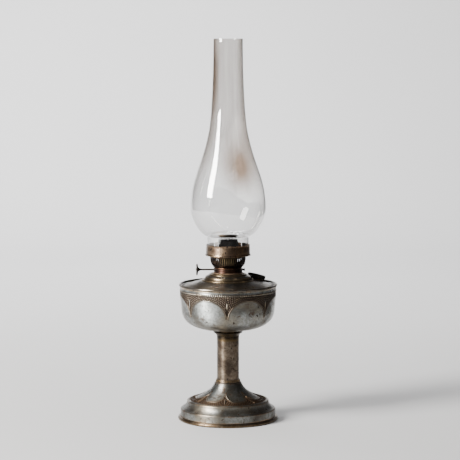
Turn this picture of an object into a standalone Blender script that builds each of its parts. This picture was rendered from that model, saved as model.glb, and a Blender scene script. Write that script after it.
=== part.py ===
"""A table oil lamp: a weighted metal foot, a stem, an embossed font, a screw-in round-wick burner and a glass chimney.

Units below are millimetres; MM turns them into Blender's metres. +Z is up, the origin is the middle of the foot on
the table, and the wick winder's knob points along -X. A profile is a list of (radius, height) that runs down the
outer side of a turned piece.
"""

import math

import bmesh
import bpy
from mathutils import Vector

MM = 0.001
GAP = 0.3  # clearance between pieces that touch on the real lamp

# Heights on the lamp's axis
RIM_TOP = 4.5  # foot ring
SEAT = 47.6  # top of the foot, which the stem stands on
STEM_TOP = 106.3
BOWL_BOTTOM = 114.8
BOWL_TOP = 169.5
CROWN = 185.6  # flat top of the font, round the burner's thread
FLANGE = 187.6  # underside of the burner's flange
BODY_TOP = 193.9
BASKET_FLOOR = 194.2
BASKET_TOP = 208.1
GALLERY_FLOOR = 209.0
TUBE_TOP = 229.0
WICK_TOP = 228.0
DISC_BOTTOM = 231.9
CHIMNEY_BOTTOM, CHIMNEY_TOP = 210.3, 480.6

# Radii and wall thicknesses
FOOT_RADIUS = 63.6
BAND_RADIUS = 60.2
STEM_RADIUS = 14.1
BOWL_RADIUS = 60.8
CONE_INNER, CONE_OUTER = 33.0, 59.3  # the sloping part of the font's top
CONE_INNER_Z, CONE_OUTER_Z = 177.6, 169.9
BODY_RADIUS = 17.7
TUBE_OUTER, TUBE_INNER = 12.2, 11.7
WICK_OUTER, WICK_INNER = 11.4, 9.4
AIR_OUTER, AIR_INNER = 9.1, 8.6
GALLERY_RADIUS = 27.8
CHIMNEY_FOOT = 26.2
SHEET = 0.8  # sheet metal of the foot and the font
THIN_SHEET = 0.6  # sheet metal of the burner
GLASS_WALL = 1.3
ROD = 3.05

# Threads: mean radius of the male side, wave height and pitch; THREAD_PLAY is the radial clearance to the female side
BURNER_THREAD = {"radius": 16.9, "wave": 0.3, "pitch": 2.4}
FILLER_THREAD = {"radius": 7.4, "wave": 0.22, "pitch": 1.5}
THREAD_PLAY = 0.35

# The winder's spindle runs along X behind the wick tube; positions along it are X coordinates
SPINDLE_Y, SPINDLE_Z = 13.6, 188.9
SPINDLE = 0.9
SPINDLE_BORE = 1.2
WHEEL_X = 4.0
WHEEL_TIP, WHEEL_ROOT, WHEEL_TEETH = 2.4, 1.75, 8
KNOB_RADIUS = 7.3

# The filler stands square on the sloping top, behind and to the right
FILLER_AZIMUTH = math.radians(34.0)
FILLER_RADIUS = 42.5
CONE_SLOPE = math.atan2(CONE_INNER_Z - CONE_OUTER_Z, CONE_OUTER - CONE_INNER)

# The duct that lets air into the inner tube, at the front
DUCT_HALF_WIDTH, DUCT_BOTTOM, DUCT_TOP = 2.7, 197.0, 205.0

BASKET_SLOTS = 52
GALLERY_SLOTS = 9
STEPS = 28  # segments of a large turned piece
THREAD_STEPS = 24
SMALL_STEPS = 20


# ---------------------------------------------------------------- scene and materials


def clear_scene():
    for obj in list(bpy.data.objects):
        bpy.data.objects.remove(obj)


def collection(name):
    made = bpy.data.collections.new(name)
    bpy.context.scene.collection.children.link(made)
    return made


def material(name, colour, metallic, roughness):
    made = bpy.data.materials.new(name)
    made.use_nodes = True
    shader = made.node_tree.nodes["Principled BSDF"]
    shader.inputs["Base Color"].default_value = (*colour, 1.0)
    shader.inputs["Metallic"].default_value = metallic
    shader.inputs["Roughness"].default_value = roughness
    return made


clear_scene()
LAMP = collection("oil_lamp")
CUTTERS = collection("cutters")
PLATE = material("nickelled_steel", (0.46, 0.47, 0.46), 0.9, 0.38)
WORN = material("worn_brass", (0.42, 0.34, 0.24), 0.9, 0.42)
COPPER = material("browned_copper", (0.30, 0.16, 0.11), 0.85, 0.48)
DARK = material("sooted_brass", (0.07, 0.06, 0.055), 0.6, 0.6)
STEEL = material("plain_steel", (0.35, 0.35, 0.36), 0.9, 0.4)
GLASS = material("clear_glass", (0.92, 0.94, 0.93), 0.0, 0.03)
COTTON = material("wick_cotton", (0.70, 0.64, 0.52), 0.0, 0.95)
LEATHER = material("washer_leather", (0.16, 0.10, 0.06), 0.0, 0.8)
PLASTER = material("ballast_plaster", (0.68, 0.66, 0.60), 0.0, 0.9)


# ---------------------------------------------------------------- outlines


def arc(centre, radius, start, end, steps):
    """Points on a circle from one angle to another, in degrees, both ends included."""
    angles = [math.radians(start + (end - start) * i / steps) for i in range(steps + 1)]
    return [(centre[0] + radius * math.cos(a), centre[1] + radius * math.sin(a)) for a in angles]


def bezier(a, b, c, d, steps):
    """Points on a cubic Bezier curve, both ends included."""
    points = []
    for i in range(steps + 1):
        t = i / steps
        weights = ((1 - t) ** 3, 3 * t * (1 - t) ** 2, 3 * t * t * (1 - t), t**3)
        points.append(tuple(sum(w * p[k] for w, p in zip(weights, (a, b, c, d))) for k in (0, 1)))
    return points


def stretch(top, bottom, spacing, radius):
    """A vertical line of evenly spaced points, for a thread to be waved into."""
    steps = max(2, round((top - bottom) / spacing))
    return [(radius, top + (bottom - top) * i / steps) for i in range(steps + 1)]


# ---------------------------------------------------------------- pieces


def add(name, mesh, look, parent=None):
    obj = bpy.data.objects.new(name, mesh)
    LAMP.objects.link(obj)
    obj.data.materials.append(look)
    obj.parent = parent
    return obj


def mesh_of(name, points, faces, closed=True):
    """A mesh from points in millimetres and faces of point numbers; a closed one gets its normals turned outwards."""
    bm = bmesh.new()
    vertices = [bm.verts.new(Vector(point) * MM) for point in points]
    for face in faces:
        bm.faces.new([vertices[i] for i in face])
    loose = [vertex for vertex in bm.verts if not vertex.link_faces]
    bmesh.ops.delete(bm, geom=loose, context="VERTS")
    if closed:
        bmesh.ops.recalc_face_normals(bm, faces=bm.faces)
    mesh = bpy.data.meshes.new(name)
    bm.to_mesh(mesh)
    bm.free()
    return mesh


def axis(name, location, rotation):
    """An empty on a joint's axis, which is its own Z."""
    obj = bpy.data.objects.new(name, None)
    obj.location = Vector(location) * MM
    obj.rotation_euler = rotation
    LAMP.objects.link(obj)
    return obj


def turned(name, profile, look, steps=STEPS, wall=0.0, parent=None):
    """A profile turned about Z: a closed outline, or with a wall an open line that is thickened inwards."""
    on_axis = profile[0][0] == 0 and profile[-1][0] == 0
    edges = [(i, i + 1) for i in range(len(profile) - 1)]
    if not wall and not on_axis:
        edges.append((len(profile) - 1, 0))
    mesh = bpy.data.meshes.new(name)
    mesh.from_pydata([(r * MM, 0.0, z * MM) for r, z in profile], edges, [])
    obj = add(name, mesh, look, parent)
    screw = obj.modifiers.new("turn", "SCREW")
    screw.axis = "Z"
    screw.angle = math.tau
    screw.steps = screw.render_steps = steps
    screw.use_merge_vertices = True
    screw.merge_threshold = 0.00001
    screw.use_smooth_shade = True
    if wall:
        thicken(obj, wall)
    return obj


def thicken(obj, wall):
    solidify = obj.modifiers.new("wall", "SOLIDIFY")
    solidify.thickness = wall * MM
    solidify.offset = -1
    solidify.use_even_offset = True


def frozen(obj):
    """The object with its modifiers made part of its mesh."""
    bpy.context.view_layer.update()
    graph = bpy.context.evaluated_depsgraph_get()
    mesh = bpy.data.meshes.new_from_object(obj.evaluated_get(graph))
    obj.modifiers.clear()
    obj.data = mesh
    return obj


def thread(obj, form, top, bottom, play=0.0):
    """Waves the vertices of a thread's stretch in and out along a helix.

    With play it is the female side, which opens outwards at its ends; without, it is the male side, which closes
    inwards.
    """
    frozen(obj)
    radius = form["radius"] + play
    side = 1.0 if play else -1.0
    run_out = 0.3 * form["pitch"]
    for vertex in obj.data.vertices:
        x, y, z = vertex.co / MM
        r = math.hypot(x, y)
        if abs(r - radius) > 0.02 or not bottom - 0.01 <= z <= top + 0.01:
            continue
        share = min(1.0, (top - z) / run_out, (z - bottom) / run_out)
        wave = math.cos(math.tau * z / form["pitch"] - math.atan2(y, x))
        factor = 1 + form["wave"] * (share * wave + (1 - share) * side) / r
        vertex.co.x *= factor
        vertex.co.y *= factor
    return obj


def slotted(name, profile, slots, slot_angle, rib_columns, open_rows, look):
    """A turned sheet with evenly spaced slots, the first in the middle of the back; angles are in degrees."""
    period = 360.0 / slots
    rib = (period - slot_angle) / rib_columns
    edges = [0.0, slot_angle, *[slot_angle + rib * (i + 1) for i in range(rib_columns - 1)]]
    angles = [math.radians(90 - slot_angle / 2 + slot * period + edge) for slot in range(slots) for edge in edges]
    points = [(r * math.cos(a), r * math.sin(a), z) for r, z in profile for a in angles]
    around = len(angles)
    faces = []
    for row in range(len(profile) - 1):
        for column in range(around):
            if row in open_rows and column % len(edges) == 0:
                continue
            after = (column + 1) % around
            above, below = row * around, (row + 1) * around
            faces.append((above + column, below + column, below + after, above + after))
    obj = add(name, mesh_of(name, points, faces, closed=False), look)
    thicken(obj, THIN_SHEET)
    return obj


def outlined_ring(name, radii, bore, low, high, look, parent=None):
    """A plate round its own Z with a round bore, whose outer edge follows the given evenly spaced radii."""
    count = len(radii)
    points = []
    for z in (low, high):
        for outline in (radii, [bore] * count):
            for i, radius in enumerate(outline):
                angle = math.tau * i / count
                points.append((radius * math.cos(angle), radius * math.sin(angle), z))
    faces = []
    for i in range(count):
        j = (i + 1) % count
        outer_low, inner_low, outer_high, inner_high = 0, count, 2 * count, 3 * count
        faces.append((outer_low + i, outer_low + j, outer_high + j, outer_high + i))
        faces.append((inner_low + j, inner_low + i, inner_high + i, inner_high + j))
        faces.append((outer_high + i, outer_high + j, inner_high + j, inner_high + i))
        faces.append((outer_low + j, outer_low + i, inner_low + i, inner_low + j))
    return add(name, mesh_of(name, points, faces), look, parent)


def block_mesh(name, low, high):
    points = [(x, y, z) for x in (low[0], high[0]) for y in (low[1], high[1]) for z in (low[2], high[2])]
    faces = [(0, 1, 3, 2), (4, 6, 7, 5), (0, 4, 5, 1), (2, 3, 7, 6), (0, 2, 6, 4), (1, 5, 7, 3)]
    return mesh_of(name, points, faces)


# ---------------------------------------------------------------- cutters


def as_cutter(obj):
    """Moves an object among the cutters, which aren't part of the lamp."""
    LAMP.objects.unlink(obj)
    CUTTERS.objects.link(obj)
    obj.hide_render = True
    obj.display_type = "WIRE"
    return obj


def block_cutter(name, low, high):
    return as_cutter(add(name, block_mesh(name, low, high), STEEL))


def rod_cutter(name, radius, low, high, parent):
    """A round bar along its parent's Z."""
    profile = [(0, high), (radius, high), (radius, low), (0, low)]
    return as_cutter(turned(name, profile, STEEL, SMALL_STEPS, parent=parent))


def cut(obj, cutter):
    boolean = obj.modifiers.new("cut", "BOOLEAN")
    boolean.operation = "DIFFERENCE"
    boolean.object = cutter
    return obj


# ---------------------------------------------------------------- foot and stem


def foot():
    flare = bezier((17.0, 46.8), (20.5, 37.0), (30.0, 30.6), (50.4, 24.7), 6)
    cove = bezier((52.0, 23.3), (52.4, 18.6), (55.2, 15.4), (59.2, 14.5), 2)
    shell = [(4.2, SEAT), (15.8, SEAT), *flare, *cove, (BAND_RADIUS, 13.4), (BAND_RADIUS, RIM_TOP + 0.4)]
    turned("foot_shell", shell, PLATE, wall=SHEET)
    bead = arc((FOOT_RADIUS - 2.1, 2.3), 2.1, 80, -60, 4)
    ring = [(57.5, RIM_TOP), (61.0, RIM_TOP), *bead, (61.6, 0.0), (58.6, 0.0), (57.5, 1.0)]
    turned("foot_ring", ring, WORN)
    turned("foot_cover", [(12.0, 1.9), (57.2, 1.9), (57.2, 1.0), (12.0, 1.0)], PLATE)

    slope = bezier((17.3, 40.0), (20.5, 34.0), (29.0, 28.0), (48.5, 22.9), 3)
    side = [(50.4, 21.6), (51.4, 18.0), (54.4, 14.9), (58.8, 12.4), (58.8, 5.3), (57.0, 5.0), (57.0, 2.2)]
    recess = [(11.0, 2.2), (11.0, 9.3), (3.6, 9.3)]
    turned("foot_ballast", [(3.6, 40.0), *slope, *side, *recess], PLASTER)


def tie():
    """The rod that pulls foot, stem and font together, with its washer and nut under the ballast."""
    turned("tie_rod", [(0, 113.2), (ROD, 113.2), (ROD, 2.0), (0, 2.0)], STEEL, 16)
    bore = ROD + GAP
    turned("tie_washer", [(bore, 9.0), (9.0, 9.0), (9.0, 7.9), (bore, 7.9)], STEEL, SMALL_STEPS)
    flats = [5.0 / math.cos(math.radians(15 * i % 60 - 30)) for i in range(24)]
    outlined_ring("tie_nut", flats, bore, 2.7, 7.5, STEEL)


def stem():
    inner, bottom = STEM_RADIUS - SHEET, SEAT + GAP
    tube = [(inner, STEM_TOP), (STEM_RADIUS, STEM_TOP), (STEM_RADIUS, bottom), (inner, bottom)]
    turned("stem_tube", tube, WORN)
    beads = [*arc((14.7, 50.2), 0.8, 90, -60, 2), *arc((14.9, 48.8), 0.9, 60, -90, 2)]
    turned("stem_ring", [(STEM_RADIUS + GAP, 51.0), *beads, (STEM_RADIUS + GAP, bottom)], WORN)
    outside = [(17.9, 112.0), (18.7, 111.6), (18.4, 110.9), (16.0, 109.4), (14.6, 107.9), (STEM_RADIUS, 106.6)]
    inside = [(4.0, 106.6), (4.0, 107.4), (13.6, 107.4), (13.9, 108.3), (15.4, 109.9)]
    turned("stem_cup", [*outside, *inside], WORN)


# ---------------------------------------------------------------- font


def font(filler):
    boss_top, bore = BOWL_BOTTOM - GAP, ROD + GAP
    outside = [(0, boss_top), (15.4, boss_top), (15.4, 112.7), (13.0, 112.3), (13.0, 107.8)]
    turned("font_boss", [*outside, (bore, 107.8), (bore, 113.6), (0, 113.6)], WORN, SMALL_STEPS)
    side = [(BOWL_RADIUS, BOWL_TOP), (60.5, 158.0), (59.7, 147.5)]
    turn_in = bezier((58.9, 139.4), (57.6, 124.0), (44.0, 117.6), (27.0, 115.5), 5)
    turned("font_bowl", [*side, *turn_in, (14.0, BOWL_BOTTOM), (0, BOWL_BOTTOM)], PLATE, wall=SHEET)
    turned("font_rim", arc((60.6, 171.4), 1.55, 100, -260, 6)[:-1], PLATE)

    crown = [(18.9, CROWN), (23.2, CROWN), (24.2, 184.3)]
    dome = [(26.8, 183.5), (28.9, 181.9), (30.4, 179.2)]
    bead = arc((32.0, 177.7), 0.9, 130, 60, 2)
    skirt = [(CONE_INNER, CONE_INNER_Z), (CONE_OUTER, CONE_OUTER_Z), (CONE_OUTER, 166.9)]
    top = turned("font_top", [*crown, *dome, *bead, *skirt], PLATE, wall=SHEET)
    cut(top, rod_cutter("filler_hole", 7.5, -8.0, 8.0, filler))

    mean = BURNER_THREAD["radius"] + THREAD_PLAY
    crest = mean + BURNER_THREAD["wave"]
    outside = [(crest, 186.4), (20.6, 186.4), (20.8, 185.9), (18.6, 185.9), (18.6, 179.9), (crest, 179.9)]
    collar = [*outside, *reversed(stretch(186.2, 180.4, 0.6, mean))]
    collar = turned("burner_collar", collar, WORN, THREAD_STEPS)
    thread(collar, BURNER_THREAD, 186.2, 180.4, THREAD_PLAY)


def filler_axis():
    """The filler's axis, square to the sloping top; its origin is on the sloping face."""
    height = CONE_INNER_Z - (FILLER_RADIUS - CONE_INNER) * math.tan(CONE_SLOPE)
    place = (FILLER_RADIUS * math.cos(FILLER_AZIMUTH), FILLER_RADIUS * math.sin(FILLER_AZIMUTH), height)
    return axis("filler_axis", place, (0.0, CONE_SLOPE, FILLER_AZIMUTH))


def filler_parts(filler):
    """A threaded neck through the font's top and its screw cap, with a washer under the cap's roof."""
    mean, wave = FILLER_THREAD["radius"], FILLER_THREAD["wave"]
    root, crest = mean - wave, mean + THREAD_PLAY + wave
    foot_of_neck = [(9.8, 0.9), (9.8, GAP), (7.1, GAP), (7.1, -2.6), (6.3, -2.6)]
    neck = [(6.3, 4.6), (root, 4.6), *stretch(4.4, 1.2, 0.375, mean), (root, 1.0), *foot_of_neck]
    neck = turned("filler_neck", neck, WORN, SMALL_STEPS, parent=filler)
    thread(neck, FILLER_THREAD, 4.4, 1.2)
    washer = [(0, 5.7), (7.5, 5.7), (7.5, 4.9), (0, 4.9)]
    turned("filler_washer", washer, LEATHER, SMALL_STEPS, parent=filler)
    outside = [(0, 7.3), (9.6, 7.3), (11.1, 7.0), (11.5, 6.5), (11.5, 2.0), (11.1, 1.6), (crest, 1.6)]
    inside = [*reversed(stretch(4.7, 1.8, 0.375, mean + THREAD_PLAY)), (crest, 6.0), (0, 6.0)]
    cap = turned("filler_cap", [*outside, *inside], DARK, SMALL_STEPS, parent=filler)
    thread(cap, FILLER_THREAD, 4.7, 1.8, THREAD_PLAY)


# ---------------------------------------------------------------- burner


def burner_body(winder):
    turned("burner_washer", [(17.6, 187.3), (18.3, 187.3), (18.3, 186.7), (17.6, 186.7)], LEATHER)
    mean, root = BURNER_THREAD["radius"], BURNER_THREAD["radius"] - BURNER_THREAD["wave"]
    wall = [(16.9, BODY_TOP), (BODY_RADIUS, BODY_TOP), (BODY_RADIUS, 188.5), (17.9, 188.3), (17.9, FLANGE)]
    inside = [(16.2, 179.6), (12.5, 179.6), (12.5, 180.3), (15.9, 180.3), (15.9, 187.0), (16.9, 188.0)]
    profile = [*wall, (root, FLANGE), *stretch(187.0, 180.4, 0.6, mean), *inside]
    body = turned("burner_body", profile, COPPER, THREAD_STEPS)
    thread(body, BURNER_THREAD, 187.0, 180.4)
    cut(body, rod_cutter("spindle_hole", SPINDLE + 0.25, -20.0, 20.0, winder))


def basket():
    """The air basket: a flange, a slotted flaring side and a floor that closes on the wick tube."""
    side = [(24.8, BASKET_TOP), (22.9, BASKET_TOP), (22.6, 206.6), (20.6, 197.2)]
    floor = [(18.0, BASKET_FLOOR), (TUBE_OUTER + GAP, BASKET_FLOOR)]
    slotted("burner_basket", [*side, *floor], BASKET_SLOTS, 3.9, 1, (2,), COPPER)


def gallery():
    """The chimney's holder: a flat floor and a wall slit into spring fingers."""
    fingers = [(27.8, 222.6), (27.4, 221.2), (GALLERY_RADIUS, 218.4), (GALLERY_RADIUS, 211.9)]
    floor = [(GALLERY_RADIUS, 211.0), (28.8, 210.0), (28.8, GALLERY_FLOOR), (23.4, GALLERY_FLOOR)]
    slotted("gallery", [*fingers, *floor], GALLERY_SLOTS, 3.3, 3, (0, 1, 2), WORN)


def wick_tubes():
    """Two tubes, one inside the other, with the wick between them, and a duct that lets air into the inner one."""
    bottom = 178.6
    outline = [(TUBE_INNER, TUBE_TOP), (TUBE_OUTER, TUBE_TOP), (TUBE_OUTER, bottom), (TUBE_INNER, bottom)]
    outer = turned("outer_wick_tube", outline, DARK, THREAD_STEPS)
    floor = 194.0
    cup = [(0, floor + 0.6), (AIR_INNER, floor + 0.6), (AIR_INNER, TUBE_TOP)]
    cup += [(AIR_OUTER, TUBE_TOP), (AIR_OUTER, floor), (0, floor)]
    inner = turned("inner_air_tube", cup, DARK, THREAD_STEPS)

    for side in (-1, 1):
        low, high = sorted((side * (WHEEL_X - 1.0), side * (WHEEL_X + 1.0)))
        reach = WHEEL_TIP + GAP
        name = "wheel_slot_left" if side < 0 else "wheel_slot_right"
        cut(outer, block_cutter(name, (low, 9.0, SPINDLE_Z - reach), (high, 14.0, SPINDLE_Z + reach)))
    half = DUCT_HALF_WIDTH + GAP
    window = block_cutter("air_window", (-half, -14.0, DUCT_BOTTOM - GAP), (half, -6.0, DUCT_TOP + GAP))
    cut(outer, window)
    cut(inner, window)

    low, high = (-DUCT_HALF_WIDTH, -13.0, DUCT_BOTTOM), (DUCT_HALF_WIDTH, -8.8, DUCT_TOP)
    duct = add("air_duct", block_mesh("air_duct", low, high), DARK)
    half = DUCT_HALF_WIDTH - 0.5
    cut(duct, block_cutter("duct_bore", (-half, -14.0, DUCT_BOTTOM + 0.5), (half, -8.0, DUCT_TOP - 0.5)))


def wick():
    """A flat wick rolled round the inner tube: its edges meet above the air duct and stand apart below it."""
    columns = 26
    rows = [(WICK_TOP, 3.0), (218.0, 4.0), (216.5, 22.0), (190.0, 30.0), (127.0, 30.0)]
    points, faces = [], []
    for z, half_gap in rows:
        angles = [math.radians(-90 + half_gap + (360 - 2 * half_gap) * i / columns) for i in range(columns + 1)]
        points += [(WICK_OUTER * math.cos(a), WICK_OUTER * math.sin(a), z) for a in angles]
        points += [(WICK_INNER * math.cos(a), WICK_INNER * math.sin(a), z) for a in reversed(angles)]
    around = 2 * (columns + 1)
    for row in range(len(rows) - 1):
        for i in range(around):
            j = (i + 1) % around
            faces.append((row * around + i, (row + 1) * around + i, (row + 1) * around + j, row * around + j))
    for start in (0, (len(rows) - 1) * around):
        for i in range(columns):
            facing = around - 1 - i
            faces.append((start + i, start + i + 1, start + facing - 1, start + facing))
    add("wick", mesh_of("wick", points, faces), COTTON)


def winder_parts(winder):
    turned("winder_spindle", [(0, 21.6), (SPINDLE, 21.6), (SPINDLE, -41.0), (0, -41.0)], STEEL, 16, parent=winder)
    hub = [(SPINDLE_BORE, -36.4), (2.1, -36.4), (2.5, -37.4), (4.0, -38.1)]
    disc = [(6.9, -38.4), (KNOB_RADIUS, -38.8), (KNOB_RADIUS, -40.0), (6.9, -40.4), (SPINDLE_BORE, -40.4)]
    turned("winder_knob", [*hub, *disc], DARK, SMALL_STEPS, parent=winder)
    tooth = [WHEEL_ROOT, WHEEL_ROOT, WHEEL_TIP, WHEEL_TIP]
    for side, word in ((-1, "left"), (1, "right")):
        low = side * WHEEL_X - 0.6
        outlined_ring(f"spur_wheel_{word}", tooth * WHEEL_TEETH, SPINDLE_BORE, low, low + 1.2, WORN, winder)
        low, high = sorted((side * 14.2, side * 18.4))
        bush = [(SPINDLE_BORE, high), (1.9, high), (1.9, low), (SPINDLE_BORE, low)]
        turned(f"spindle_bush_{word}", bush, COPPER, 16, parent=winder)


def flame_disc():
    """The disc that spreads the flame, on a stem that stands in the inner tube."""
    top = [(0, DISC_BOTTOM + 1.7), (11.8, DISC_BOTTOM + 1.7), (12.2, DISC_BOTTOM + 1.4)]
    under = [(12.2, DISC_BOTTOM + 0.3), (11.8, DISC_BOTTOM), (1.6, DISC_BOTTOM), (1.6, DISC_BOTTOM + 0.9)]
    turned("flame_disc", [*top, *under, (0, DISC_BOTTOM + 0.9)], DARK)
    foot_of_stem = [(1.3, 196.6), (2.0, 195.8), (8.1, 195.7), (8.1, 194.9), (0, 194.9)]
    turned("flame_disc_stem", [(0, DISC_BOTTOM + 0.6), (1.3, DISC_BOTTOM + 0.6), *foot_of_stem], STEEL, SMALL_STEPS)


def chimney():
    neck = bezier((18.5, CHIMNEY_TOP), (18.9, 411.0), (22.4, 376.1), (24.7, 364.6), 5)
    flank = bezier((24.7, 364.6), (33.7, 319.6), (47.7, 307.0), (47.7, 268.0), 6)[1:]
    shoulder = bezier((47.7, 268.0), (47.7, 257.5), (37.0, 237.0), (28.2, 233.9), 5)[1:]
    foot_of_glass = [(26.6, 233.3), (CHIMNEY_FOOT, 232.0), (CHIMNEY_FOOT, CHIMNEY_BOTTOM)]
    turned("chimney", [*neck, *flank, *shoulder, *foot_of_glass], GLASS, wall=GLASS_WALL)


def build():
    foot()
    tie()
    stem()
    filler = filler_axis()
    font(filler)
    filler_parts(filler)
    winder = axis("winder_axis", (0.0, SPINDLE_Y, SPINDLE_Z), (0.0, math.pi / 2, 0.0))
    burner_body(winder)
    basket()
    gallery()
    wick_tubes()
    wick()
    winder_parts(winder)
    flame_disc()
    chimney()


build()
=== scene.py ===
"""The looks of a table oil lamp: embossed, worn metal foot and font, a slotted burner and a smoked glass chimney.

Sizes in the code are millimetres, and MM turns them into metres. A turned piece is an outline of (radius, height)
points that runs down its outer side.
"""

import math

import bpy
import numpy as np
from mathutils import Matrix, Vector


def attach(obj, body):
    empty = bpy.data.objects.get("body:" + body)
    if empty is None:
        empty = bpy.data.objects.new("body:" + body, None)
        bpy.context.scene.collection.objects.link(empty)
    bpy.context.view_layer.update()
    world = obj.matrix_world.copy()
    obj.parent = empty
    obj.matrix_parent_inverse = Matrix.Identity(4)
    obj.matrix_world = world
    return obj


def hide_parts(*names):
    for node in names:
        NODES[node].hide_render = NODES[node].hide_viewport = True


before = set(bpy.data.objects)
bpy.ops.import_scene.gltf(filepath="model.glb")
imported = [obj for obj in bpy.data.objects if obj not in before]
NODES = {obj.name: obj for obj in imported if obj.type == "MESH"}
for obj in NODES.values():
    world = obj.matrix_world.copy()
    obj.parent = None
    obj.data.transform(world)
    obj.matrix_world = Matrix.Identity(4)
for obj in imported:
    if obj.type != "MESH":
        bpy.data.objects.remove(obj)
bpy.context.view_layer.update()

MM = 0.001
FRONT = -90.0  # the side that faces the camera, as an angle round the axis
LOBES = 7  # the ornaments of the font and of the foot repeat seven times

SHEET, THIN_SHEET, GLASS_WALL = 0.8, 0.6, 0.6  # walls of the foot and the font, of the burner, and of the chimney
BURNER_WAVE, BURNER_PITCH = 0.3, 2.4  # the thread between the burner and its screw ring
FILLER_WAVE, FILLER_PITCH = 0.22, 1.5  # the thread on the filler's neck
FILLER_OUT, FILLER_ROUND = 42.5, 34.0  # the filler's distance from the axis and its angle round it, to the back right
CONE_TOP, CONE_INNER, CONE_DROP, CONE_RUN = 177.6, 33.0, 7.7, 26.3  # the font's sloping top, from its inner edge
WINDER_Y, WINDER_Z = 13.6, 188.9  # the winder's shaft, which runs along X
WICK_TOP, WICK_BOTTOM = 228.0, 127.0

SHARP = 1.3  # an outline that turns by this much, in radians, is fully worn or fully hollow
COLOUR_A, COLOUR_B, COLOUR_OUT = 6, 7, 2  # the colour sockets of a Mix node


# ---------------------------------------------------------------- outlines


def arc(centre, radius, start, end, steps):
    angles = [math.radians(start + (end - start) * i / steps) for i in range(steps + 1)]
    return [(centre[0] + radius * math.cos(a), centre[1] + radius * math.sin(a)) for a in angles]


def bezier(a, b, c, d, steps):
    points = []
    for i in range(steps + 1):
        t = i / steps
        weights = ((1 - t) ** 3, 3 * t * (1 - t) ** 2, 3 * t * t * (1 - t), t**3)
        points.append(tuple(sum(w * p[k] for w, p in zip(weights, (a, b, c, d))) for k in (0, 1)))
    return points


def rounded(points, radius=0.3, closed=True, steps=3):
    """The outline with its corners rounded off; points on the axis stay."""
    made = []
    count = len(points)
    for i, point in enumerate(points):
        ends = not closed and i in (0, count - 1)
        if ends or point[0] == 0:
            made.append(point)
            continue
        here = Vector(point)
        before, after = Vector(points[i - 1]) - here, Vector(points[(i + 1) % count]) - here
        reach = min(radius, 0.45 * before.length, 0.45 * after.length)
        if before.angle(after, math.pi) > math.radians(172) or reach < 0.02:
            made.append(point)
            continue
        start, end = here + before.normalized() * reach, here + after.normalized() * reach
        for k in range(steps + 1):
            t = k / steps
            made.append(tuple((1 - t) ** 2 * start + 2 * t * (1 - t) * here + t * t * end))
    return made


def spaced(points, spacing):
    """The open outline with more points, so that none are further apart than spacing."""
    made = [points[0]]
    for a, b in zip(points, points[1:]):
        steps = max(1, math.ceil(math.dist(a, b) / spacing))
        made += [(a[0] + (b[0] - a[0]) * i / steps, a[1] + (b[1] - a[1]) * i / steps) for i in range(1, steps + 1)]
    return made


def shell(outside, wall):
    """A closed outline from an open one that runs down the outer side, thickened inwards."""
    pts = np.array(outside, float)
    step = np.gradient(pts, axis=0)
    step /= np.linalg.norm(step, axis=1)[:, None]
    inside = pts + wall * np.stack([step[:, 1], -step[:, 0]], axis=1)
    if pts[-1, 0] == 0:
        inside[-1, 0] = 0.0
    return list(map(tuple, pts)) + list(map(tuple, inside[::-1]))


def thinned(outline, every):
    """A shell's outline with fewer points on its inner side, which is out of sight."""
    middle = len(outline) // 2
    return outline[:middle] + outline[middle::every] + [outline[-1]]


def turning(outline, closed):
    """How sharply the outline turns near each point: above 0 on an outer edge, below 0 in a hollow."""
    pts = np.array(outline, float)
    if closed:
        before, after = np.roll(pts, 1, 0), np.roll(pts, -1, 0)
    else:
        before, after = np.vstack([pts[:1], pts[:-1]]), np.vstack([pts[1:], pts[-1:]])
    a, b = pts - before, after - pts
    bend = np.arctan2(a[:, 1] * b[:, 0] - a[:, 0] * b[:, 1], (a * b).sum(1))
    near = np.exp(-((np.linalg.norm(pts[:, None] - pts[None], axis=2) / 0.6) ** 2))
    return near @ bend


# ---------------------------------------------------------------- meshes


def new_object(name, mesh):
    obj = bpy.data.objects.new(name, mesh)
    bpy.context.scene.collection.objects.link(obj)
    return obj


def smooth(mesh, angle=38):
    mesh.shade_smooth()
    mesh.set_sharp_from_angle(angle=math.radians(angle))


def attribute(mesh, name, values):
    layer = mesh.attributes.new(name, "FLOAT", "POINT")
    layer.data.foreach_set("value", np.asarray(values, np.float32).ravel())


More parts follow.
